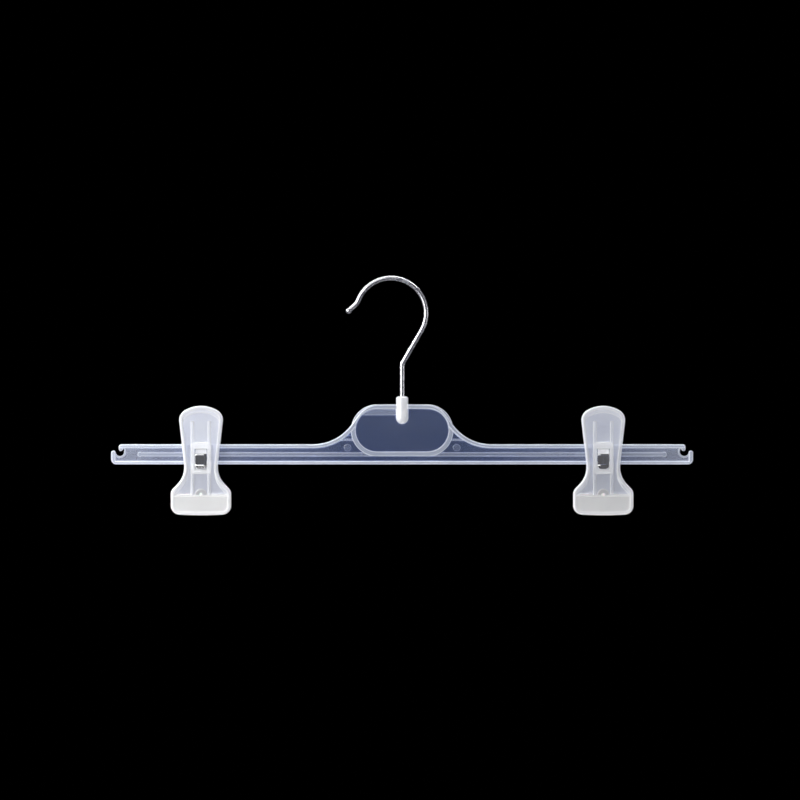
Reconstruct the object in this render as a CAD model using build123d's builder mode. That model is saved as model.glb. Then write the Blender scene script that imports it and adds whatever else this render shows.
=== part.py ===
from build123d import *
from math import asin, atan, cos, degrees, hypot, radians, sin, sqrt, tan
import os

# A clear plastic skirt hanger with a swivel wire hook and two sprung clips that slide on its bar.
# Millimetres, +X to the wearer's left seen from the front, -Y to the front, +Z up.
# The origin is on the hook's stem axis, where the rail bears on the inside of the hook.

os.makedirs("parts", exist_ok=True)

# Shared clearances
overrun = 1.0
swivel_gap = 0.08
bearing_gap = 0.3
snug_gap = 0.1

# Hook wire, with sizes along the wire's centre line
wire_d = 3.1
crown_r = 22.9
crown_offset = 7.3
crown_end_angle = 159.5
bend_drop = 53.3
bend_r = 5.0
tip_bend_r = 5.5
tip_turn = 26
tip_length = 6.6
ball_d = 3.9
head_d = 4.6
head_h = 2.6
head_depth = 11.6

# Hook socket on the frame
socket_rise = 31.25
socket_length = 18.0
socket_d = 8.0
socket_edge_w = 0.9

# Bar, an I section with a middle rib
bar_length = 380.2
bar_h = 13.1
bar_top_drop = 105.85
flange_depth = 5.0
top_flange_h = 2.4
bottom_flange_h = 2.1
flange_edge_w = 0.45
web_t = 1.4
rib_setback = 18.8
rib_h = 2.3
rib_depth = 3.2
rib_end_d = 3.0

# Label panel and its flares
panel_centres = 33.0
panel_r = 16.9
panel_rise = 26.05
rim_w = 2.9
flare_angle = 54
flare_inset = 1.6
flare_r = 31.0
brace_h = 1.1
brace_rise = 2.9
brace_depth = 2.6
ledge_h = 4.0
ledge_depth = 2.4
mark_d = 4.6
mark_drop = 2.2
mark_raise = 0.25

# End loops that hold skirt straps
lip_setback = 5.0
lip_w = 2.6
lip_drop = 4.35
lip_corner_r = 1.8
curl_w = 2.9
curl_drop = 4.05
curl_corner_r = 3.3
notch_r = 2.9
notch_drop = 4.75
notch_rim_w = 1.0

# Clip jaw outline, heights above the middle of the bar and drops below it
clip_setback = 58.7
head_rise = 31.65
head_corner_rise = 25.6
head_corner_w = 29.1
head_corner_r = 7.5
waist_w = 20.4
waist_drop = 14.05
waist_r = 16.0
grip_w = 39.2
shoulder_drop = 23.85
shoulder_r = 5.5
grip_drop = 38.95
grip_bow = 0.8
grip_corner_r = 5.8
jaw_rim_w = 2.0
head_step_w = 2.4

# Clip jaw depths, measured outwards from the middle of the bar
plate_seat = 3.6
plate_t = 1.5
field_rib_h = 1.3
handle_depth = 3.6
grip_depth = 6.6
grip_recess = 0.6
handle_splay = 13
jaw_bend_r = 14.0
jaw_edge_w = 0.8

# Clip jaw window, ribs and boss
window_w = 8.2
window_rise = 3.7
window_drop = 5.05
pocket_drop = 10.2
border_w = 2.4
border_rise = 7.8
jaw_rib_w = 1.8
jaw_rib_x = 5.5
jaw_rib_rise = 21.4
cheek_w = 2.0
cheek_drop = 7.75
pad_ledge_drop = 26.3
boss_d = 7.2

# Grip pads
pad_t = 2.2
pad_inset = 2.4
stud_d = 2.0
groove_h = 0.9
groove_t = 0.5
groove_pitch = 2.1
groove_count = 5

# Spring strip
strip_w = 7.4
strip_t = 0.5
strip_end_r = 2.6
bow_rise = 1.75
tongue_drop = 6.95
tongue_lift = 0.35
lip_end_drop = 9.55
lip_end_lift = 0.8
strip_exit_drop = 0.15
strip_bend_r = 1.2

# Places worked out from the sizes above
bar_top = -bar_top_drop
bar_bottom = bar_top - bar_h
bar_mid = bar_top - bar_h / 2
end_x = bar_length / 2
lip_x = end_x - lip_setback
curl_x = end_x - curl_w
curl_z = bar_top - curl_drop - curl_w / 2
notch_z = bar_top - notch_drop
notch_x = curl_x - sqrt(notch_r**2 - (notch_z - curl_z) ** 2)
web_top = bar_top - top_flange_h
web_bottom = bar_bottom + bottom_flange_h
panel_top = bar_top + panel_rise
panel_z = panel_top - panel_r
panel_bottom = panel_z - panel_r
pivot_rise = bar_h / 2


def top_line(rim, drop):
    """Foot and peak of a flare's slope, moved inwards by a rim's width and a flange's height."""
    slope = tan(radians(flare_angle))
    half_slope = tan(radians(flare_angle / 2))
    peak_x = panel_centres / 2 - flare_inset + (panel_r - rim) * half_slope
    foot_x = peak_x + (panel_rise - rim + drop) / slope
    return (foot_x, bar_top - drop), (peak_x, panel_top - rim)


def top_outline(rim, drop, half_length):
    """Top edge of the frame from end to end: bar, flare, panel, flare, bar."""
    foot, peak = top_line(rim, drop)
    return FilletPolyline(
        (-half_length, bar_top - drop),
        (-foot[0], foot[1]),
        (-peak[0], peak[1]),
        peak,
        foot,
        (half_length, bar_top - drop),
        radius=(flare_r + rim, panel_r - rim, panel_r - rim, flare_r + rim),
    )


def loop_ends():
    """Round-tipped lip that hangs from each end of the top flange."""
    lip_h = lip_drop - lip_corner_r - lip_w / 2
    for side in (-1, 1):
        with Locations((side * (lip_x - lip_w / 2), bar_top - lip_corner_r - lip_h / 2)):
            Rectangle(lip_w, lip_h)
        with Locations((side * (lip_x - lip_w / 2), bar_top - lip_drop + lip_w / 2)):
            Circle(lip_w / 2)


# Frame, the whole silhouette with its end loops
with BuildSketch(Plane.XZ) as silhouette:
    with BuildLine():
        top_outline(0, 0, lip_x)
        Polyline((lip_x, bar_top), (lip_x, curl_z), (end_x, curl_z), (end_x, bar_bottom))
        Line((end_x, bar_bottom), (-end_x, bar_bottom))
        Polyline((-end_x, bar_bottom), (-end_x, curl_z), (-lip_x, curl_z), (-lip_x, bar_top))
    make_face()
    fillet(silhouette.vertices().group_by(Axis.Y)[0], curl_corner_r)
    flange_ends = silhouette.vertices().filter_by_position(Axis.Y, bar_top, bar_top)
    fillet(flange_ends.sort_by(Axis.X)[:1] + flange_ends.sort_by(Axis.X)[-1:], lip_corner_r)
    with Locations((-notch_x, notch_z), (notch_x, notch_z)):
        Circle(notch_r, mode=Mode.SUBTRACT)
    with Locations((curl_w / 2 - end_x, curl_z), (end_x - curl_w / 2, curl_z)):
        Circle(curl_w / 2)
    with Locations((0, panel_z)):
        SlotCenterToCenter(panel_centres, 2 * panel_r)
    loop_ends()

# Frame, top flange with its flares over the label panel
with BuildSketch(Plane.XZ) as top_flange:
    with BuildLine():
        top_outline(0, 0, lip_x)
        Line((lip_x, bar_top), (lip_x, web_top))
        top_outline(rim_w, top_flange_h, lip_x)
        Line((-lip_x, web_top), (-lip_x, bar_top))
    make_face()
    flange_ends = top_flange.vertices().filter_by_position(Axis.Y, bar_top, bar_top)
    fillet(flange_ends.sort_by(Axis.X)[:1] + flange_ends.sort_by(Axis.X)[-1:], lip_corner_r)
    with Locations((0, panel_z)):
        SlotCenterToCenter(panel_centres, 2 * (panel_r - rim_w), mode=Mode.SUBTRACT)

# Frame, bottom flange with the round-tipped curl at each end
with BuildSketch(Plane.XZ) as bottom_flange:
    with BuildLine():
        Polyline((end_x, curl_z), (end_x, bar_bottom), (-end_x, bar_bottom), (-end_x, curl_z))
        Polyline(
            (-end_x, curl_z),
            (-curl_x, curl_z),
            (-curl_x, web_bottom),
            (curl_x, web_bottom),
            (curl_x, curl_z),
            (end_x, curl_z),
        )
    make_face()
    fillet(bottom_flange.vertices().group_by(Axis.Y)[0], curl_corner_r)
    with Locations((curl_w / 2 - end_x, curl_z), (end_x - curl_w / 2, curl_z)):
        Circle(curl_w / 2)

# Frame, the edges set just inside the flanges: panel rim and end lips
with BuildSketch(Plane.XZ) as inset_edges:
    with Locations((0, panel_z)):
        SlotCenterToCenter(panel_centres, 2 * panel_r)
        SlotCenterToCenter(panel_centres, 2 * (panel_r - rim_w), mode=Mode.SUBTRACT)
    loop_ends()

# Frame, thin raised line round each end loop
with BuildSketch(Plane.XZ) as loop_rims:
    with Locations((-notch_x, notch_z), (notch_x, notch_z)):
        Circle(notch_r + notch_rim_w)
    add(silhouette.sketch_local, mode=Mode.INTERSECT)

# Frame, middle rib with a round nub at each end
with BuildSketch(Plane.XZ) as middle_rib:
    rib_end_x = end_x - rib_setback
    rib_z = panel_bottom + rib_h / 2
    with Locations((0, rib_z)):
        Rectangle(2 * rib_end_x, rib_h)
    with Locations((-rib_end_x, rib_z), (rib_end_x, rib_z)):
        Circle(rib_end_d / 2)

# Frame, short brace across each flare
with BuildSketch(Plane.XZ) as braces:
    brace_start = panel_centres / 2 + panel_r - rim_w
    brace_end = top_line(rim_w, top_flange_h)[0][0]
    for side in (-1, 1):
        with Locations((side * (brace_start + brace_end) / 2, bar_top + brace_rise)):
            Rectangle(brace_end - brace_start, brace_h)
    with Locations((0, panel_z)):
        SlotCenterToCenter(panel_centres, 2 * (panel_r - rim_w), mode=Mode.SUBTRACT)

# Frame, shallow label ledge in the panel's upper left corner
with BuildSketch(Plane.XZ) as ledge:
    with Locations((-panel_centres / 2, panel_top - rim_w - ledge_h / 2)):
        Rectangle(panel_centres, ledge_h)
    with Locations((0, panel_z)):
        SlotCenterToCenter(panel_centres, 2 * (panel_r - rim_w), mode=Mode.INTERSECT)

# Frame, hook socket and the stepped hole that holds the wire and its head
socket_top = bar_top + socket_rise
socket_bottom = socket_top - socket_length
head_top = socket_top - head_depth
head_bottom = head_top - head_h
with BuildSketch(Plane.XZ) as socket_half:
    with BuildLine():
        Line((0, socket_top), (0, socket_bottom))
        CenterArc((0, socket_bottom + socket_d / 2), socket_d / 2, -90, 90)
        Polyline((socket_d / 2, socket_bottom + socket_d / 2), (socket_d / 2, socket_top), (0, socket_top))
    make_face()
    chamfer(socket_half.vertices().sort_by(Axis.Y)[-2:].sort_by(Axis.X)[-1], socket_edge_w)

with BuildSketch(Plane.XZ) as socket_hole:
    bore_r = wire_d / 2 + swivel_gap
    chamber_r = head_d / 2 + swivel_gap
    chamber_top = head_top + snug_gap
    chamber_bottom = head_bottom - bearing_gap
    with BuildLine():
        Polyline(
            (0, socket_top + overrun),
            (bore_r, socket_top + overrun),
            (bore_r, chamber_top),
            (chamber_r, chamber_top),
            (chamber_r, chamber_bottom),
            (0, chamber_bottom),
            (0, socket_top + overrun),
        )
    make_face()

with BuildPart() as frame:
    extrude(top_flange.sketch, amount=flange_depth / 2)
    extrude(bottom_flange.sketch, amount=flange_depth / 2)
    chamfer(frame.faces().group_by(Axis.Y)[0].edges(), flange_edge_w)
    mirror(about=Plane.XZ)
    extrude(inset_edges.sketch, amount=flange_depth / 2 - flange_edge_w, both=True)
    extrude(silhouette.sketch, amount=web_t / 2, both=True)
    extrude(loop_rims.sketch, amount=ledge_depth / 2, both=True)
    extrude(middle_rib.sketch, amount=rib_depth / 2, both=True)
    extrude(braces.sketch, amount=brace_depth / 2, both=True)
    extrude(ledge.sketch, amount=ledge_depth / 2, both=True)
    mark_x = panel_centres / 2 + panel_r + mark_d / 2
    with BuildSketch(Plane.XZ):
        with Locations((-mark_x, bar_top - mark_drop), (mark_x, bar_top - mark_drop)):
            Circle(mark_d / 2)
    extrude(amount=web_t / 2 + mark_raise, both=True)
    revolve(socket_half.sketch, axis=Axis.Z)
    revolve(socket_hole.sketch, axis=Axis.Z, mode=Mode.SUBTRACT)

frame.part.label = "frame"
export_step(frame.part, "parts/frame.step")

# Hook, one wire bent from the headed stem over the crown to the ball end
crown_z = -sqrt((crown_r - wire_d / 2) ** 2 - crown_offset**2)
crown_height = crown_z + bend_drop
reach = hypot(crown_offset, crown_height)
lean = asin(crown_r / reach) - atan(crown_offset / crown_height)
diagonal_length = sqrt(reach**2 - crown_r**2)
crown_start = (diagonal_length * sin(lean), -bend_drop + diagonal_length * cos(lean))

with BuildPart() as hook:
    with BuildLine(Plane.XZ):
        FilletPolyline((0, head_top), (0, -bend_drop), crown_start, radius=bend_r)
        crown = CenterArc(
            (-crown_offset, crown_z), crown_r, -degrees(lean), degrees(lean) + crown_end_angle
        )
        tip_bend = JernArc(crown @ 1, crown % 1, tip_bend_r, -tip_turn)
        tip = Line(tip_bend @ 1, tip_bend @ 1 + (tip_bend % 1) * tip_length)
    with BuildSketch(Plane.XY.offset(head_top)):
        Circle(wire_d / 2)
    sweep()
    with Locations(tip @ 1):
        Sphere(ball_d / 2)
    with BuildSketch(Plane.XY.offset(head_bottom)):
        Circle(head_d / 2)
    head = extrude(amount=head_h)
    chamfer(head.edges().group_by(Axis.Z)[0], head_h / 4)

hook.part.label = "hook"
export_step(hook.part, "parts/hook.step")


def front_of(clip_x, facing):
    """Plane of a jaw's front view: x across the clip, y up, outwards from the bar."""
    return Plane(origin=(clip_x, 0, bar_mid), x_dir=(-facing, 0, 0), z_dir=(0, facing, 0))


def side_of(clip_x, facing):
    """Plane of a jaw's side view: x outwards from the middle of the bar, y up."""
    return Plane(origin=(clip_x, 0, bar_mid), x_dir=(0, facing, 0), z_dir=(facing, 0, 0))


# Clip jaw, front outline: rounded head, slim waist, wide grip with a bowed lower edge
with BuildSketch() as jaw_outline:
    head_x = head_corner_w / 2
    waist_x = waist_w / 2
    grip_x = grip_w / 2
    with BuildLine():
        ThreePointArc((-head_x, head_corner_rise), (0, head_rise), (head_x, head_corner_rise))
        Polyline(
            (head_x, head_corner_rise),
            (waist_x, -waist_drop),
            (grip_x, -shoulder_drop),
            (grip_x, -grip_drop),
        )
        ThreePointArc((grip_x, -grip_drop), (0, -grip_drop - grip_bow), (-grip_x, -grip_drop))
        Polyline(
            (-grip_x, -grip_drop),
            (-grip_x, -shoulder_drop),
            (-waist_x, -waist_drop),
            (-head_x, head_corner_rise),
        )
    make_face()
    fillet(jaw_outline.vertices().group_by(Axis.Y)[3], head_corner_r)
    fillet(jaw_outline.vertices().group_by(Axis.Y)[2], waist_r)
    fillet(jaw_outline.vertices().group_by(Axis.Y)[1], shoulder_r)
    fillet(jaw_outline.vertices().group_by(Axis.Y)[0], grip_corner_r)

# Clip jaw, the outline inside its rim
with BuildSketch() as field_outline:
    add(jaw_outline.sketch)
    offset(amount=-jaw_rim_w, mode=Mode.REPLACE)

# Clip jaw, the thin field above the grip block, around the ribs, the window border and the boss
with BuildSketch() as thin_field:
    add(field_outline.sketch)
    with Locations((0, -pad_ledge_drop - grip_drop / 2)):
        Rectangle(grip_w, grip_drop, mode=Mode.SUBTRACT)
    with Locations((0, (border_rise - pocket_drop - border_w) / 2)):
        Rectangle(window_w + 2 * border_w, border_rise + pocket_drop + border_w, mode=Mode.SUBTRACT)
    for side in (-1, 1):
        with Locations((side * jaw_rib_x, (jaw_rib_rise - pad_ledge_drop) / 2)):
            Rectangle(jaw_rib_w, jaw_rib_rise + pad_ledge_drop, mode=Mode.SUBTRACT)
    with Locations((0, -pad_ledge_drop)):
        Circle(boss_d / 2, mode=Mode.SUBTRACT)
    with Locations((0, -head_step_w)):
        add(field_outline.sketch, mode=Mode.INTERSECT)

# Grip pad, the field outline below the ledge, with its round tab
with BuildSketch() as pad_outline:
    add(jaw_outline.sketch)
    offset(amount=-pad_inset, mode=Mode.REPLACE)
    with Locations((0, head_rise / 2 - pad_ledge_drop / 2)):
        Rectangle(grip_w, head_rise + pad_ledge_drop, mode=Mode.SUBTRACT)
    with Locations((0, -pad_ledge_drop)):
        Circle(boss_d / 2)

pad_seat = bearing_gap / 2 + pad_t
plate_face = plate_seat + plate_t
splay_run = (head_rise - pivot_rise) * tan(radians(handle_splay))
grip_bottom = -grip_drop - grip_bow
grip_face = pad_seat + grip_depth


def lay(profile, plane):
    """A flat profile drawn on the ground plane, laid on another plane."""
    return plane * profile.sketch


def field_cut(outline, depth, front_plane, side_plane):
    """The space outside the jaw's plate, as deep as asked, above the grip block."""
    with BuildPart() as cut:
        with BuildSketch(side_plane):
            with BuildLine():
                Polyline(
                    (depth, -pad_ledge_drop - overrun),
                    (depth, pivot_rise),
                    (depth + splay_run, head_rise),
                    (grip_face + splay_run, head_rise),
                    (grip_face + splay_run, -pad_ledge_drop - overrun),
                    (depth, -pad_ledge_drop - overrun),
                )
            make_face()
        extrude(amount=grip_w, both=True)
        extrude(lay(outline, front_plane), amount=grip_w, both=True, mode=Mode.INTERSECT)
    return cut.part


def across(edges):
    """The edges that run round a jaw's outline, without the bends that run across it."""
    return edges.filter_by(Axis.X, reverse=True).filter_by(Axis.Y, reverse=True)


def make_jaw(clip_x, facing):
    """One clip jaw: rimmed tray with a splayed handle, window, ribs and a deep grip block."""
    front_plane = front_of(clip_x, facing)
    side_plane = side_of(clip_x, facing)
    with BuildPart() as jaw:
        with BuildSketch(side_plane):
            with BuildLine():
                FilletPolyline(
                    (pad_seat, grip_bottom),
                    (pad_seat, -pad_ledge_drop),
                    (plate_seat, -pad_ledge_drop + plate_seat - pad_seat),
                    (plate_seat, pivot_rise),
                    (plate_seat + splay_run, head_rise),
                    (plate_seat + splay_run + handle_depth, head_rise),
                    (grip_face, pivot_rise),
                    (grip_face, grip_bottom),
                    radius=(0, 0, 0, 0, 0, jaw_bend_r),
                )
                Line((grip_face, grip_bottom), (pad_seat, grip_bottom))
            make_face()
        extrude(amount=grip_w, both=True)
        extrude(lay(jaw_outline, front_plane), amount=grip_w, both=True, mode=Mode.INTERSECT)
        outer_skin = jaw.faces().group_by(lambda face: round(face.normal_at().Y * facing))[-1]
        chamfer(across(outer_skin.edges()), jaw_edge_w)
        add(field_cut(field_outline, plate_face + field_rib_h, front_plane, side_plane), mode=Mode.SUBTRACT)
        add(field_cut(thin_field, plate_face, front_plane, side_plane), mode=Mode.SUBTRACT)
        with BuildSketch(front_plane.offset(grip_face - grip_recess)):
            add(field_outline.sketch)
            with Locations((0, head_rise / 2 - pad_ledge_drop / 2)):
                Rectangle(grip_w, head_rise + pad_ledge_drop, mode=Mode.SUBTRACT)
        extrude(amount=grip_recess + overrun, mode=Mode.SUBTRACT)
        with BuildSketch(front_plane.offset(pad_seat)):
            with Locations((0, -pad_ledge_drop)):
                Circle(boss_d / 2)
        extrude(amount=plate_seat - pad_seat)
        with BuildSketch(front_plane.offset(flange_depth / 2 + bearing_gap)):
            cheek_x = window_w / 2 + snug_gap + cheek_w / 2
            for side in (-1, 1):
                with Locations((side * cheek_x, (pivot_rise - cheek_drop) / 2)):
                    Rectangle(cheek_w, pivot_rise + cheek_drop)
        extrude(amount=plate_seat - flange_depth / 2 - bearing_gap)
        with BuildSketch(front_plane):
            with Locations((0, (window_rise - window_drop) / 2)):
                Rectangle(window_w, window_rise + window_drop)
        extrude(amount=grip_w, mode=Mode.SUBTRACT)
        with BuildSketch(front_plane.offset(plate_face)):
            with Locations((0, (window_rise - pocket_drop) / 2)):
                Rectangle(window_w, window_rise + pocket_drop)
        extrude(amount=grip_w, mode=Mode.SUBTRACT)
        with BuildSketch(front_plane):
            with Locations((0, -pad_ledge_drop)):
                Circle(stud_d / 2 + snug_gap)
        extrude(amount=grip_w, mode=Mode.SUBTRACT)
    return jaw.part


def make_pad(clip_x, facing):
    """One soft grip pad with cross grooves, a round tab and a stud through the jaw."""
    front_plane = front_of(clip_x, facing)
    with BuildPart() as pad:
        extrude(lay(pad_outline, front_plane.offset(bearing_gap / 2)), amount=pad_t)
        with BuildSketch(front_plane.offset(bearing_gap / 2)):
            pad_middle = (pad_ledge_drop + grip_drop - pad_inset) / 2
            with Locations((0, -pad_middle)):
                with GridLocations(0, groove_pitch, 1, groove_count):
                    Rectangle(grip_w, groove_h)
        extrude(amount=groove_t, mode=Mode.SUBTRACT)
        with BuildSketch(front_plane.offset(pad_seat)):
            with Locations((0, -pad_ledge_drop)):
                Circle(stud_d / 2)
        extrude(amount=plate_face + field_rib_h - pad_seat)
    return pad.part


def make_spring(clip_x):
    """One spring strip: bow over the bar, legs out through both windows, tongues with turned-out lips."""
    leg = flange_depth / 2 + bearing_gap + strip_t / 2
    bends = (leg - strip_t / 4, strip_bend_r, strip_bend_r, strip_bend_r)
    bow_top = pivot_rise + bow_rise
    tongue = plate_face + tongue_lift + strip_t / 2
    half = (
        (leg, bow_top),
        (leg, window_rise - strip_t / 2),
        (tongue + tongue_lift, -strip_exit_drop),
        (tongue, -tongue_drop),
        (tongue + lip_end_lift, -lip_end_drop),
    )
    with BuildPart() as spring:
        with BuildLine(side_of(clip_x, 1)) as bend_line:
            FilletPolyline(*[(-t, z) for t, z in reversed(half)], *half, radius=bends[::-1] + bends)
        start = bend_line.line
        with BuildSketch(Plane(origin=start @ 0, x_dir=(1, 0, 0), z_dir=start % 0)):
            Rectangle(strip_w, strip_t)
        sweep()
        with BuildSketch(front_of(clip_x, -1)) as strip_front:
            strip_h = bow_top + strip_t + lip_end_drop + strip_t
            with Locations((0, bow_top + strip_t - strip_h / 2)):
                Rectangle(strip_w, strip_h)
            fillet(strip_front.vertices().group_by(Axis.Z)[0], strip_end_r)
        extrude(amount=grip_w, both=True, mode=Mode.INTERSECT)
    return spring.part


# Clips, one near each end of the bar, each of two jaws, two pads and a spring
for side_name, side in (("left", -1), ("right", 1)):
    clip_x = side * (end_x - clip_setback)
    for face_name, facing in (("front", -1), ("rear", 1)):
        jaw = make_jaw(clip_x, facing)
        jaw.label = f"{side_name}_{face_name}_jaw"
        export_step(jaw, f"parts/{jaw.label}.step")
        pad = make_pad(clip_x, facing)
        pad.label = f"{side_name}_{face_name}_pad"
        export_step(pad, f"parts/{pad.label}.step")
    spring = make_spring(clip_x)
    spring.label = f"{side_name}_spring"
    export_step(spring, f"parts/{spring.label}.step")
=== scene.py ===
import bmesh
import bpy
from math import asin, atan, cos, hypot, pi, radians, sin, sqrt, tan
from mathutils import Matrix, Vector


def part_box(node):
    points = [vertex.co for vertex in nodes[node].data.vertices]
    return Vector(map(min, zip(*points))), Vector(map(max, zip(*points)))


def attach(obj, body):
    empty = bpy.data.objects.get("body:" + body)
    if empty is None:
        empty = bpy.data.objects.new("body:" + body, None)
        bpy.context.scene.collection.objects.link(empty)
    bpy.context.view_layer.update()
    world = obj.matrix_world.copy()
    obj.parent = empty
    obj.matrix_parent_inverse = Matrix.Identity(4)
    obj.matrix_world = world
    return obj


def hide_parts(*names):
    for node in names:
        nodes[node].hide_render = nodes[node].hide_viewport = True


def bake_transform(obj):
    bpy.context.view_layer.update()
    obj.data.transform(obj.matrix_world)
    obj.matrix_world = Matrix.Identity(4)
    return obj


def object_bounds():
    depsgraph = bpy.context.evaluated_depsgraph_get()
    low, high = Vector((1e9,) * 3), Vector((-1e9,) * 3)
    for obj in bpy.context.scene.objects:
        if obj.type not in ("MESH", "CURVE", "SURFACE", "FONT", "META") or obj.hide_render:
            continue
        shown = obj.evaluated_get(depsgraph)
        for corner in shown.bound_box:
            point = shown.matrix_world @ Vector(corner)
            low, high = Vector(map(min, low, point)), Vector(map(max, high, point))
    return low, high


# A clear plastic skirt hanger with a swivel wire hook and two sprung clips.
# Metres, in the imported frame: the origin is where the rail bears on the hook.

mm = 0.001

# Hook wire
wire_d = 3.1 * mm
crown_r = 22.9 * mm
crown_offset = 7.3 * mm
crown_end_angle = radians(159.5)
bend_drop = 53.3 * mm
bend_r = 5.0 * mm
tip_bend_r = 5.5 * mm
tip_turn = radians(26)
tip_length = 6.6 * mm
ball_d = 3.9 * mm
head_d = 4.6 * mm
head_h = 2.6 * mm
head_chamfer = 0.65 * mm
wire_facets = 40
bend_steps = 8
crown_steps = 64
tip_steps = 10
ball_facets = 32
ball_rings = 20
sliver = 0.005 * mm

# Spring strip, heights from the middle of the bar and distances out from its middle plane
strip_w = 7.4 * mm
strip_t = 0.5 * mm
strip_end_r = 2.6 * mm
strip_bend_cut = 0.4 * mm
strip_edge_r = 0.08 * mm
bow_rise = 8.3 * mm
leg_out = 3.05 * mm
bow_cut = 0.95 * leg_out
leg_rise = 3.45 * mm
exit_out = 6.05 * mm
exit_drop = 0.15 * mm
tongue_out = 5.7 * mm
tongue_drop = 6.95 * mm
lip_out = 6.5 * mm
lip_drop = 9.55 * mm
bow_steps = 10
strip_bend_steps = 4
lip_steps = 8

# Grip pad
pad_corner_r = 3.4 * mm
pad_corner_steps = 6
pad_edge_r = 0.3 * mm
pad_gap = 0.3 * mm
pad_t = 2.2 * mm
groove_margin = 1.5 * mm
groove_h = 0.9 * mm
groove_t = 0.5 * mm
groove_pitch = 2.1 * mm
groove_count = 5
tab_d = 7.2 * mm
stud_d = 2.0 * mm
stud_out = 6.4 * mm
stud_facets = 40

# Meshes
weld = 0.002 * mm
smooth_angle = radians(35)
soft_angle = radians(50)
soft_steps = 2

# Where the bar's plastic changes: depths from its middle plane, with painted light in ribs and
# flanges and a painted glint on edges, the hook socket, and the run from its clear middle to its
# ends, which are painted paler to stand in for the light falling there
rib_depths = (0.75 * mm, 1.1 * mm)
flange_depths = (1.7 * mm, 2.0 * mm)
edge_depths = (1.0 * mm, 2.4 * mm)
hub_depths = (0.72 * mm, 0.8 * mm)
hub_radii = (4.0 * mm, 4.16 * mm)
hub_heights = (-92.7 * mm, -92.6 * mm)
painted_end_light_run = (40 * mm, 185 * mm)

# Where the jaws' plastic changes: the splayed plate and what stands out from it, the frame round
# the window, and the grip block
plate_heights = (-105.85 * mm, -80.75 * mm)
plate_faces = (5.1 * mm, 10.9 * mm)
raised_heights = (0.2 * mm, 2.6 * mm)
clip_apart = 131.4 * mm
window_middle = -114.8 * mm
window_half_widths = (6.3 * mm, 6.5 * mm)
window_half_heights = (10.0 * mm, 10.2 * mm)
block_tops = (-138.9 * mm, -138.7 * mm)

# How far the facing turns along an edge, as the share of it that stays: the band of the painted
# glint along edges
edge_turns = (0.995, 0.93)
edge_samples = 8

# Camera and stage
camera_far = 9.0
view_w = 522.8 * mm
view_middle = (-1.4 * mm, -76.9 * mm)
floor_drop = 0.6
floor_r = 0.8
floor_facets = 96
gloss_dark = (0.10, 0.10, 0.11)
lamp_target = (0, 0, -0.1)

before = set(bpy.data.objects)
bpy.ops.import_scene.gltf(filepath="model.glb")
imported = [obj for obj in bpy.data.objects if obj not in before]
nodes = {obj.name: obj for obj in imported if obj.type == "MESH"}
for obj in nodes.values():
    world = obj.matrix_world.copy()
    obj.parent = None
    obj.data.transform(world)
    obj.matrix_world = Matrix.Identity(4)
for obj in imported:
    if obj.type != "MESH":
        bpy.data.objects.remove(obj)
cad_low, cad_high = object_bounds()


def start_mesh():
    """Nothing selected, ready for a new primitive."""
    if bpy.context.object and bpy.context.object.mode == "EDIT":
        bpy.ops.object.mode_set(mode="OBJECT")
    bpy.ops.object.select_all(action="DESELECT")


def pick(test, kind="FACE"):
    """Selects the faces, edges or points of the edited mesh whose middle passes the test."""
    mesh = bmesh.from_edit_mesh(bpy.context.object.data)
    bpy.ops.mesh.select_mode(type=kind)
    bpy.ops.mesh.select_all(action="DESELECT")
    if kind == "FACE":
        for face in mesh.faces:
            face.select_set(test(face.calc_center_median(), face.normal))
    elif kind == "EDGE":
        for edge in mesh.edges:
            ends = [point.co for point in edge.verts]
            edge.select_set(test((ends[0] + ends[1]) / 2, (ends[1] - ends[0]).normalized()))
    else:
        for point in mesh.verts:
            point.select_set(test(point.co, point.normal))
    mesh.select_flush_mode()
    bmesh.update_edit_mesh(bpy.context.object.data)


def push(x=0, y=0, z=0):
    """Extrudes the selection and moves it."""
    bpy.ops.mesh.extrude_region_move(TRANSFORM_OT_translate={"value": (x, y, z)})


def apply_place():
    """Settles the active object's place, turn and size in its mesh."""
    bpy.ops.object.transform_apply(location=True, rotation=True, scale=True)


def finish_mesh(name, material):
    """Leaves edit mode, settles the mesh in the frame's own coordinates and names it."""
    bpy.ops.mesh.select_all(action="SELECT")
    bpy.ops.mesh.remove_doubles(threshold=weld)
    bpy.ops.mesh.normals_make_consistent(inside=False)
    bpy.ops.object.mode_set(mode="OBJECT")
    piece = bpy.context.object
    piece.name = name
    piece.data.name = name
    apply_place()
    bpy.ops.object.shade_smooth_by_angle(angle=smooth_angle)
    piece.data.materials.clear()
    piece.data.materials.append(material)
    return piece


def apply_modifier(piece, kind, **settings):
    """Adds one modifier, sets it and applies it."""
    bpy.ops.object.select_all(action="DESELECT")
    piece.select_set(True)
    bpy.context.view_layer.objects.active = piece
    modifier = piece.modifiers.new(kind.lower(), kind)
    for key, value in settings.items():
        setattr(modifier, key, value)
    bpy.ops.object.modifier_apply(modifier=modifier.name)


def join_on(piece, extra):
    """Joins the solid of one more object to a piece."""
    apply_modifier(piece, "BOOLEAN", object=extra, operation="UNION", solver="EXACT")
    bpy.data.objects.remove(extra)


def round_edges(piece, width):
    """Small rounded edges all over a piece, shaded softly."""
    apply_modifier(piece, "BEVEL", width=width, segments=soft_steps, limit_method="ANGLE")
    bpy.ops.object.shade_smooth_by_angle(angle=soft_angle)
    apply_modifier(piece, "WEIGHTED_NORMAL", weight=100, keep_sharp=True)


def mix_shaders(tree, share, first, second):
    """One shader output turning into another, by the share."""
    mix = tree.nodes.new("ShaderNodeMixShader")
    for output, target in zip((share, first, second), mix.inputs):
        tree.links.new(output, target)
    return mix.outputs["Shader"]


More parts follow.
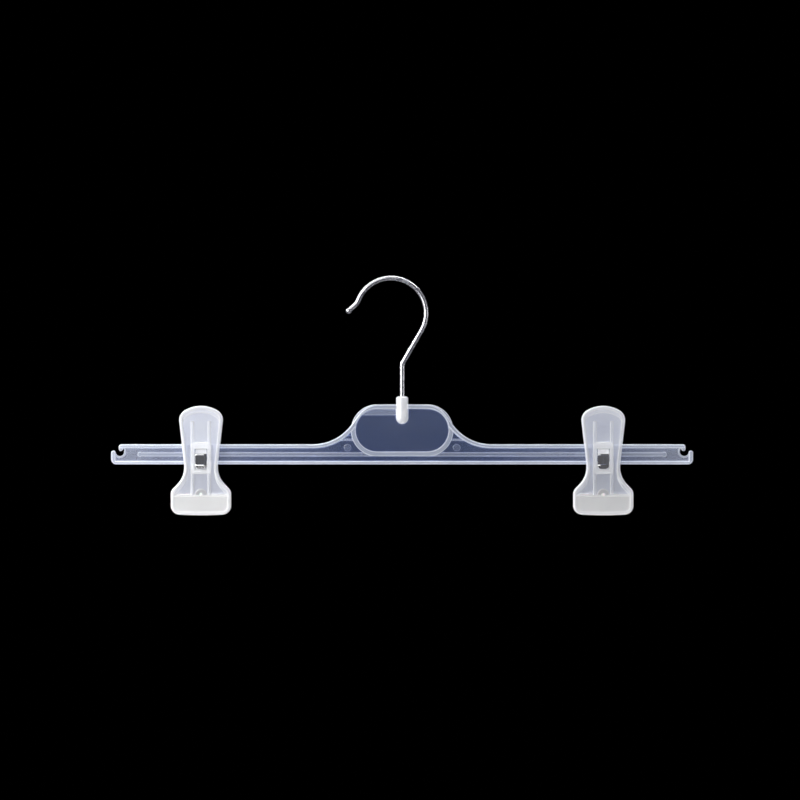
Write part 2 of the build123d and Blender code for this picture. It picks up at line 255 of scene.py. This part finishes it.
class Finish:
    """A material's node tree with one surface shader, built up by name."""

    def __init__(self, name):
        self.material = bpy.data.materials.new(name)
        self.material.use_nodes = True
        self.tree = self.material.node_tree
        self.surface = self.tree.nodes["Principled BSDF"]
        self.place = self.node("ShaderNodeTexCoord").outputs["Object"]

    def node(self, kind, **settings):
        """A new node with its settings."""
        made = self.tree.nodes.new(kind)
        for key, value in settings.items():
            setattr(made, key, value)
        return made

    def link(self, output, target):
        """Joins an output to an input."""
        self.tree.links.new(output, target)

    def feed(self, output, name):
        """Joins an output to one of the surface shader's inputs."""
        self.link(output, self.surface.inputs[name])

    def set(self, **values):
        """Constant values on the surface shader's own sockets."""
        for key, value in values.items():
            self.surface.inputs[key.replace("_", " ")].default_value = value

    def noise(self, scale, detail=3.0, stretch=(1, 1, 1)):
        """A noise pattern in the piece's own space, stretched along its axes."""
        mapping = self.node("ShaderNodeMapping")
        mapping.inputs["Scale"].default_value = stretch
        self.link(self.place, mapping.inputs["Vector"])
        noise = self.node("ShaderNodeTexNoise")
        noise.inputs["Scale"].default_value = scale
        noise.inputs["Detail"].default_value = detail
        self.link(mapping.outputs["Vector"], noise.inputs["Vector"])
        return noise.outputs["Fac"]

    def cloud(self, scale, low=0.3, high=0.7, **pattern):
        """A noise pattern with its middle range drawn out from nought to one."""
        return self.span(self.noise(scale, **pattern), low, high, 0, 1)

    def span(self, value, low, high, to_low, to_high):
        """The value moved from one range to another, held at the ends."""
        step = self.node("ShaderNodeMapRange")
        step.inputs["From Min"].default_value = low
        step.inputs["From Max"].default_value = high
        step.inputs["To Min"].default_value = to_low
        step.inputs["To Max"].default_value = to_high
        self.link(value, step.inputs["Value"])
        return step.outputs["Result"]

    def fade(self, value, share):
        """One, falling to a share where the value is one."""
        return self.span(value, 0, 1, 1, share)

    def part(self, axis):
        """A point's place along one axis, in metres."""
        parts = self.node("ShaderNodeSeparateXYZ")
        self.link(self.place, parts.inputs["Vector"])
        return parts.outputs[axis]

    def away(self, value, middle=0.0):
        """How far a value is from a middle one, either way."""
        apart = self.node("ShaderNodeMath", operation="SUBTRACT")
        self.link(value, apart.inputs[0])
        apart.inputs[1].default_value = middle
        size = self.node("ShaderNodeMath", operation="ABSOLUTE")
        self.link(apart.outputs["Value"], size.inputs[0])
        return size.outputs["Value"]

    def two(self, operation, first, second):
        """One sum on two values."""
        made = self.node("ShaderNodeMath", operation=operation)
        self.link(first, made.inputs[0])
        self.link(second, made.inputs[1])
        return made.outputs["Value"]

    def times(self, first, *others):
        """The product of values."""
        for other in others:
            first = self.two("MULTIPLY", first, other)
        return first

    def depth(self):
        """How far a point is from the middle plane of the bar, in metres."""
        return self.away(self.part("Y"))

    def hub(self):
        """One inside the hook socket, nought outside it."""
        across = self.span(self.away(self.part("X")), *hub_radii, 1, 0)
        above = self.span(self.part("Z"), *hub_heights, 0, 1)
        return self.times(across, above, self.span(self.depth(), *hub_depths, 0, 1))

    def over_plate(self):
        """How far a point of a jaw stands out from its plate, which splays above the bar."""
        plate = self.span(self.part("Z"), *plate_heights, *plate_faces)
        return self.two("SUBTRACT", self.depth(), plate)

    def window_frame(self):
        """One in the thick frame round the window of each jaw, nought outside it."""
        aside = self.away(self.away(self.part("X")), clip_apart)
        above = self.away(self.part("Z"), window_middle)
        across = self.span(aside, *window_half_widths, 1, 0)
        return self.times(across, self.span(above, *window_half_heights, 1, 0))

    def blend(self, value, first, second):
        """One colour output turning into another, by the value."""
        mix = self.node("ShaderNodeMix", data_type="RGBA")
        self.link(value, mix.inputs["Factor"])
        self.link(first, mix.inputs["A"])
        self.link(second, mix.inputs["B"])
        return mix.outputs["Result"]

    def tint(self, value, low_colour, high_colour):
        """A colour between two, by the value."""
        mix = self.node("ShaderNodeMix", data_type="RGBA")
        mix.inputs["A"].default_value = (*low_colour, 1)
        mix.inputs["B"].default_value = (*high_colour, 1)
        self.link(value, mix.inputs["Factor"])
        return mix.outputs["Result"]

    def edges(self, width):
        """One along edges and inner corners, nought past the width, and a facing rounded there."""
        soft = self.node("ShaderNodeBevel", samples=edge_samples)
        soft.inputs["Radius"].default_value = width
        flat = self.node("ShaderNodeNewGeometry").outputs["Normal"]
        both = self.node("ShaderNodeVectorMath", operation="DOT_PRODUCT")
        self.link(soft.outputs["Normal"], both.inputs[0])
        self.link(flat, both.inputs[1])
        return self.span(both.outputs["Value"], *edge_turns, 0, 1), soft.outputs["Normal"]

    def relief(self, value, height, facing=None):
        """Fine relief of the given height in metres, on top of a facing."""
        bump = self.node("ShaderNodeBump")
        if facing:
            self.link(facing, bump.inputs["Normal"])
        bump.inputs["Strength"].default_value = 1.0
        bump.inputs["Distance"].default_value = height
        self.link(value, bump.inputs["Height"])
        self.feed(bump.outputs["Normal"], "Normal")

    def turn_into(self, share, other):
        """The surface turns into another shader, by the share."""
        mixed = mix_shaders(self.tree, share, self.surface.outputs["BSDF"], other)
        self.link(mixed, self.tree.nodes["Material Output"].inputs["Surface"])

    def stay_dark_in_gloss(self):
        """Polished pieces mirror the dark background in place of this surface."""
        dark = self.node("ShaderNodeEmission")
        dark.inputs["Color"].default_value = (*gloss_dark, 1)
        rays = self.node("ShaderNodeLightPath").outputs["Is Glossy Ray"]
        self.turn_into(rays, dark.outputs["Emission"])

    def let_lamps_through(self, share):
        """Lamps shine through the piece instead of stopping at it."""
        rays = self.node("ShaderNodeLightPath").outputs["Is Shadow Ray"]
        clear = self.node("ShaderNodeBsdfTransparent")
        self.turn_into(self.span(rays, 0, 1, 0, share), clear.outputs["BSDF"])


def clear_bar_plastic():
    """Clear styrene with a cold tint: nearly water-clear in the middle of the web and milkier in
    the hub, with painted light whitening the ribs and flanges, a painted glint along edges, and
    the web painted paler towards the ends for the light falling there."""
    finish = Finish("clear_bar_plastic")
    finish.set(IOR=1.57, Roughness=0.08)
    haze = finish.cloud(60, stretch=(0.4, 1, 1))
    grain = finish.cloud(420, 0.35, 0.65, detail=4, stretch=(1, 1, 0.5))
    clear_web = finish.tint(haze, (0.22, 0.30, 0.60), (0.32, 0.40, 0.68))
    # Paler web colour towards the ends: painted light, standing in for the light falling there
    painted_end_web = finish.tint(haze, (0.60, 0.64, 0.78), (0.68, 0.72, 0.84))
    # Ribs and flanges painted whiter, standing in for light caught inside the thick clear plastic
    thick_painted_light = finish.tint(haze, (0.72, 0.78, 0.92), (0.80, 0.85, 0.96))
    knob = finish.tint(grain, (0.84, 0.85, 0.88), (0.95, 0.95, 0.96))
    # Painted highlight: a near-white glint colour laid along the edges
    glint = finish.tint(grain, (0.92, 0.94, 1.0), (0.96, 0.98, 1.0))
    hub = finish.hub()
    # Mask of the painted end light, rising from the middle of the bar to its ends
    painted_end_light = finish.span(finish.away(finish.part("X")), *painted_end_light_run, 0, 1)
    ribs = finish.span(finish.depth(), *rib_depths, 0, 0.56)
    flanges = finish.span(finish.depth(), *flange_depths, 0, 0.4)
    step = finish.two("ADD", ribs, flanges)
    # Mask of the painted glint along edges, fainter on the thin web
    edges, facing = finish.edges(0.9 * mm)
    edges = finish.times(edges, finish.span(finish.depth(), *edge_depths, 0.25, 1))
    body = finish.blend(step, finish.blend(painted_end_light, clear_web, painted_end_web), thick_painted_light)
    body = finish.blend(edges, body, glint)
    finish.feed(finish.blend(hub, body, knob), "Base Color")
    clear = finish.times(
        finish.span(step, 0, 1, 0.88, 0.66),
        finish.fade(edges, 0.12),
        finish.fade(hub, 0.5),
        finish.fade(painted_end_light, 0.84),
    )
    finish.feed(clear, "Transmission Weight")
    finish.relief(finish.noise(220, detail=2), 0.01 * mm, facing)
    finish.let_lamps_through(0.75)
    return finish.material


def milky_clip_plastic():
    """Milky moulded plastic of the jaws: clearer in the thin plate, whiter in all that stands out
    from it, in the window frame and the grip block, and with a painted glint along edges."""
    finish = Finish("milky_clip_plastic")
    finish.set(IOR=1.49, Roughness=0.32)
    haze = finish.cloud(90, detail=4)
    plate = finish.tint(haze, (0.73, 0.75, 0.83), (0.81, 0.83, 0.88))
    rim = finish.tint(haze, (0.84, 0.85, 0.88), (0.90, 0.91, 0.93))
    # White for the window frame and grip block, and the painted highlight along edges
    glint = finish.tint(haze, (0.96, 0.96, 0.96), (1.0, 1.0, 1.0))
    raised = finish.span(finish.over_plate(), *raised_heights, 0, 1)
    block = finish.span(finish.part("Z"), *block_tops, 1, 0)
    dense = finish.two("MAXIMUM", finish.window_frame(), block)
    # Mask of the painted glint along edges
    edges, facing = finish.edges(0.7 * mm)
    body = finish.blend(raised, plate, rim)
    body = finish.blend(finish.span(dense, 0, 1, 0, 0.45), body, glint)
    finish.feed(finish.blend(edges, body, glint), "Base Color")
    clear = finish.times(
        finish.span(raised, 0, 1, 0.68, 0.5), finish.fade(edges, 0.4), finish.fade(dense, 0.62)
    )
    finish.feed(clear, "Transmission Weight")
    finish.relief(finish.noise(500, detail=2), 0.008 * mm, facing)
    finish.let_lamps_through(0.7)
    return finish.material


def soft_grip_rubber():
    """Soft pale rubber of the grip pads, dull, a little warm."""
    finish = Finish("soft_grip_rubber")
    finish.set(Roughness=0.62, IOR=1.45, Subsurface_Weight=0.25, Subsurface_Scale=1.5 * mm)
    bloom = finish.cloud(160, detail=5)
    finish.feed(finish.tint(bloom, (0.87, 0.86, 0.84), (0.93, 0.92, 0.90)), "Base Color")
    finish.relief(finish.noise(1400, detail=2), 0.02 * mm)
    return finish.material


def polished_hook_steel():
    """Polished plated wire, a little clouded."""
    finish = Finish("polished_hook_steel")
    finish.set(Metallic=1.0, IOR=2.5)
    cloud = finish.cloud(350, detail=4)
    finish.feed(finish.tint(cloud, (0.62, 0.62, 0.66), (0.72, 0.72, 0.76)), "Base Color")
    finish.feed(finish.span(cloud, 0, 1, 0.22, 0.3), "Roughness")
    finish.relief(finish.noise(2500, detail=2), 0.0012 * mm)
    return finish.material


def bright_spring_steel():
    """Bright rolled spring strip with lines along its length."""
    finish = Finish("bright_spring_steel")
    finish.set(Metallic=1.0, IOR=2.5)
    lines = finish.cloud(400, detail=4, stretch=(4, 1, 0.1))
    finish.feed(finish.tint(lines, (0.80, 0.80, 0.80), (0.90, 0.90, 0.90)), "Base Color")
    finish.feed(finish.span(lines, 0, 1, 0.06, 0.13), "Roughness")
    finish.relief(lines, 0.002 * mm)
    return finish.material


bar_plastic = clear_bar_plastic()
jaw_plastic = milky_clip_plastic()
pad_rubber = soft_grip_rubber()
hook_steel = polished_hook_steel()
spring_steel = bright_spring_steel()


def leading(angle):
    """A unit direction in the plane of the hook, turned up from +X."""
    return Vector((cos(angle), 0, sin(angle)))


def make_hook():
    """The wire swept by extrudes and spins from its head to its ball end."""
    head_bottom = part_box("hook")[0].z
    crown_z = -sqrt((crown_r - wire_d / 2) ** 2 - crown_offset**2)
    crown_height = crown_z + bend_drop
    reach = hypot(crown_offset, crown_height)
    lean = asin(crown_r / reach) - atan(crown_offset / crown_height)
    bend_start = -bend_drop - bend_r * tan(lean / 2)
    run = sqrt(reach**2 - crown_r**2) - bend_r * tan(lean / 2)
    crown_centre = Vector((-crown_offset, 0, crown_z))
    tip_centre = crown_centre + leading(crown_end_angle) * (crown_r + tip_bend_r)
    heading = crown_end_angle + pi / 2 - tip_turn
    tip_start = tip_centre - leading(crown_end_angle - tip_turn) * tip_bend_r
    start_mesh()
    bpy.ops.mesh.primitive_circle_add(
        vertices=wire_facets,
        radius=head_d / 2 - head_chamfer,
        fill_type="NGON",
        location=(0, 0, head_bottom),
    )
    bpy.ops.object.mode_set(mode="EDIT")
    push(z=head_chamfer)
    bpy.ops.transform.resize(value=[(head_d / 2) / (head_d / 2 - head_chamfer)] * 2 + [1])
    push(z=head_h - head_chamfer)
    push()
    bpy.ops.transform.resize(value=[wire_d / head_d] * 2 + [1])
    push(z=bend_start - head_bottom - head_h)
    bpy.ops.mesh.spin(
        steps=bend_steps, angle=lean, center=(bend_r, 0, bend_start), axis=(0, -1, 0)
    )
    push(x=run * sin(lean), z=run * cos(lean))
    bpy.ops.mesh.spin(
        steps=crown_steps, angle=lean + crown_end_angle, center=crown_centre, axis=(0, 1, 0)
    )
    bpy.ops.mesh.spin(steps=tip_steps, angle=tip_turn, center=tip_centre, axis=(0, -1, 0))
    push(x=tip_length * cos(heading), z=tip_length * sin(heading))
    wire = finish_mesh("hook_wire", hook_steel)
    start_mesh()
    bpy.ops.mesh.primitive_uv_sphere_add(
        segments=ball_facets,
        ring_count=ball_rings,
        radius=ball_d / 2,
        location=tip_start + leading(heading) * tip_length,
    )
    join_on(wire, bpy.context.object)
    bpy.ops.object.mode_set(mode="EDIT")
    bpy.ops.mesh.select_all(action="SELECT")
    bpy.ops.mesh.dissolve_degenerate(threshold=sliver)
    bpy.ops.object.mode_set(mode="OBJECT")
    bpy.ops.object.shade_smooth_by_angle(angle=smooth_angle)
    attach(wire, "hook")
    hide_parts("hook")


def pick_fold(out, height):
    """Selects the edge across the strip at one place of its route."""
    place = Vector((-out, height))
    pick(lambda m, d: abs(d.x) > 0.9 and (m.yz - place).length < 0.001 * mm, "EDGE")


def make_strip():
    """Front half of a spring strip, from the top of its bow to the lip of its tongue."""
    route = (
        (leg_out, bow_rise),
        (leg_out, leg_rise),
        (exit_out, -exit_drop),
        (tongue_out, -tongue_drop),
        (lip_out, -lip_drop),
    )
    start_mesh()
    bpy.ops.mesh.primitive_plane_add(size=1, location=(0, -leg_out / 2, bow_rise))
    bpy.ops.transform.resize(value=(strip_w, leg_out, 1))
    apply_place()
    bpy.ops.object.mode_set(mode="EDIT")
    for here, there in zip(route, route[1:]):
        pick_fold(*here)
        push(y=here[0] - there[0], z=there[1] - here[1])
    pick_fold(*route[0])
    bpy.ops.mesh.bevel(offset=bow_cut, segments=bow_steps, affect="EDGES")
    for place in route[1:-1]:
        pick_fold(*place)
        bpy.ops.mesh.bevel(offset=strip_bend_cut, segments=strip_bend_steps, affect="EDGES")
    pick(lambda p, n: p.z < 0.001 * mm - lip_drop, "VERT")
    bpy.ops.mesh.bevel(offset=strip_end_r, segments=lip_steps, affect="VERTICES")
    pick(lambda m, n: abs(n.z) < 0.9)
    bpy.ops.mesh.subdivide(number_cuts=2)
    strip = finish_mesh("spring_strip", spring_steel)
    apply_modifier(strip, "SOLIDIFY", thickness=strip_t, offset=0)
    round_edges(strip, strip_edge_r)
    return strip


def make_pad(width, bottom, ledge):
    """Front grip pad: a grooved block with a round tab and a stud that plugs into its jaw."""
    inner, outer = -pad_gap / 2, -pad_gap / 2 - pad_t
    core = (inner + outer) / 2
    middle = (ledge + bottom) / 2
    reach = width / 2 - groove_margin
    levels = [
        middle + (row - (groove_count - 1) / 2) * groove_pitch for row in range(groove_count)
    ]
    start_mesh()
    bpy.ops.mesh.primitive_cube_add(
        size=1, location=(0, core, middle), scale=(width, pad_t, ledge - bottom)
    )
    apply_place()
    bpy.ops.object.mode_set(mode="EDIT")
    pick(lambda m, d: abs(d.y) > 0.9 and m.z < middle, "EDGE")
    bpy.ops.mesh.bevel(offset=pad_corner_r, segments=pad_corner_steps, affect="EDGES")
    rows = [level + end * groove_h / 2 for level in levels for end in (-1, 1)]
    cuts = [((0, 0, row), (0, 0, 1)) for row in rows]
    cuts += [((end * reach, 0, 0), (1, 0, 0)) for end in (-1, 1)]
    for place, facing in cuts:
        bpy.ops.mesh.select_all(action="SELECT")
        bpy.ops.mesh.bisect(plane_co=place, plane_no=facing)
    pick(
        lambda m, n: n.y > 0.9
        and abs(m.x) < reach
        and any(abs(m.z - level) < groove_h / 2 for level in levels)
    )
    push(y=-groove_t)
    pad = finish_mesh("grip_pad", pad_rubber)
    for radius, near, far in ((tab_d / 2, inner, outer), (stud_d / 2, core, -stud_out)):
        start_mesh()
        bpy.ops.mesh.primitive_cylinder_add(
            vertices=stud_facets,
            radius=radius,
            depth=near - far,
            location=(0, (near + far) / 2, ledge),
            rotation=(pi / 2, 0, 0),
        )
        join_on(pad, bpy.context.object)
    round_edges(pad, pad_edge_r)
    return pad


def place_copy(master, name, clip_x, facing):
    """A copy of a front piece with its own mesh, moved to its clip and its side of the bar."""
    copy = master.copy()
    copy.data = master.data.copy()
    copy.name = copy.data.name = name
    bpy.context.scene.collection.objects.link(copy)
    turn = Matrix.Rotation(0 if facing < 0 else pi, 4, "Z")
    copy.data.transform(Matrix.Translation((clip_x, 0, 0)) @ turn)
    return copy


def make_clips():
    """Pads and spring strips of both clips, each copied from one model."""
    pad_low, pad_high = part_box("left_front_pad")
    bar_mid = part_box("left_spring")[1].z - strip_t / 2 - bow_rise
    pad = make_pad(pad_high.x - pad_low.x, pad_low.z, pad_high.z - tab_d / 2)
    strip = make_strip()
    strip.data.transform(Matrix.Translation((0, 0, bar_mid)))
    for side in ("left", "right"):
        spring_low, spring_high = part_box(f"{side}_spring")
        clip_x = (spring_low.x + spring_high.x) / 2
        strips = []
        for face, facing in (("front", -1), ("rear", 1)):
            jaw = f"{side}_{face}_jaw"
            piece = place_copy(pad, f"{side}_{face}_grip", clip_x, facing)
            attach(piece, jaw)
            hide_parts(f"{side}_{face}_pad")
            half = place_copy(strip, f"{side}_{face}_strip", clip_x, facing)
            strips.append((half, jaw, facing))
        for half, jaw, facing in strips:
            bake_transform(half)
            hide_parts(f"{side}_spring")
    bpy.data.objects.remove(pad)
    bpy.data.objects.remove(strip)


def dress(node, material):
    """A CAD node's own shape with its finished material."""
    slots = nodes[node].data.materials
    slots.clear()
    slots.append(material)


dress("frame", bar_plastic)
for node in nodes:
    if node.endswith("_jaw"):
        dress(node, jaw_plastic)
make_hook()
make_clips()


def make_floor():
    """A pale floor far under the hanging object."""
    start_mesh()
    bpy.ops.mesh.primitive_circle_add(
        vertices=floor_facets,
        radius=floor_r,
        fill_type="NGON",
        location=(0, 0, cad_low.z - floor_drop),
    )
    floor = bpy.context.object
    floor.name = "floor"
    finish = Finish("pale_floor")
    finish.set(Roughness=0.8)
    grain = finish.cloud(8)
    finish.feed(finish.tint(grain, (0.76, 0.76, 0.76), (0.80, 0.80, 0.80)), "Base Color")
    finish.stay_dark_in_gloss()
    floor.data.materials.append(finish.material)


def make_world():
    """Soft even light from all round, but black to the eye and through the clear plastic, and
    nearly black to the gloss."""
    world = bpy.data.worlds.new("studio")
    bpy.context.scene.world = world
    world.use_nodes = True
    tree = world.node_tree
    lit = tree.nodes["Background"]
    dim = tree.nodes.new("ShaderNodeBackground")
    dark = tree.nodes.new("ShaderNodeBackground")
    for light, colour in ((lit, (0.94, 0.96, 1.0)), (dim, gloss_dark), (dark, (0, 0, 0))):
        light.inputs["Color"].default_value = (*colour, 1)
    lit.inputs["Strength"].default_value = 0.22
    rays = tree.nodes.new("ShaderNodeLightPath").outputs
    unseen = tree.nodes.new("ShaderNodeMath")
    unseen.operation = "MAXIMUM"
    tree.links.new(rays["Is Camera Ray"], unseen.inputs[0])
    tree.links.new(rays["Is Transmission Ray"], unseen.inputs[1])
    shine = mix_shaders(
        tree, rays["Is Glossy Ray"], lit.outputs["Background"], dim.outputs["Background"]
    )
    back = mix_shaders(tree, unseen.outputs["Value"], shine, dark.outputs["Background"])
    tree.links.new(back, tree.nodes["World Output"].inputs["Surface"])


def add_lamp(name, place, size, power, colour=(1, 1, 1)):
    """One square soft box aimed at the hanger."""
    lamp = bpy.data.lights.new(name, "AREA")
    lamp.shape = "RECTANGLE"
    lamp.size, lamp.size_y = size
    lamp.energy = power
    lamp.color = colour
    holder = bpy.data.objects.new(name, lamp)
    bpy.context.scene.collection.objects.link(holder)
    holder.location = place
    aim = Vector(lamp_target) - Vector(place)
    holder.rotation_euler = aim.to_track_quat("-Z", "Y").to_euler()
    return holder


def make_camera():
    """A long lens, level with the hanger and square to it."""
    data = bpy.data.cameras.new("camera")
    data.lens_unit = "FOV"
    data.angle = 2 * atan(view_w / 2 / camera_far)
    holder = bpy.data.objects.new("camera", data)
    bpy.context.scene.collection.objects.link(holder)
    holder.location = (view_middle[0], -camera_far, view_middle[1])
    holder.rotation_euler = (radians(90), 0, 0)
    bpy.context.scene.camera = holder


make_floor()
make_world()
add_lamp("key_box", (-0.5, -0.45, 0.0), (0.45, 0.6), 3.4, (1.0, 0.99, 0.97))
add_lamp("left_box", (-0.9, -0.5, 0.3), (0.5, 0.9), 1.5)
add_lamp("right_box", (0.95, -0.3, 0.1), (0.3, 0.9), 0.8)
add_lamp("front_box", (-0.4, -1.2, 0.4), (0.8, 0.5), 3.0)
add_lamp("top_strip", (0, 0, 0.7), (1.6, 0.08), 10.5)
add_lamp("low_strip", (0, 0, -0.42), (0.8, 0.05), 0.5)
add_lamp("left_strip", (-0.55, 0, 0.2), (0.05, 0.4), 2.6)
add_lamp("right_strip", (0.6, 0, -0.1), (0.05, 0.4), 0.25)

# A cold card behind the camera, mirrored by the web but not seen through it from behind
cold_card = add_lamp("back_card", (0, -9.6, -0.08), (1.2, 1.2), 2.6, (0.45, 0.6, 1.0))
cold_card.visible_transmission = False

make_camera()
bpy.context.scene.view_settings.view_transform = "Standard"
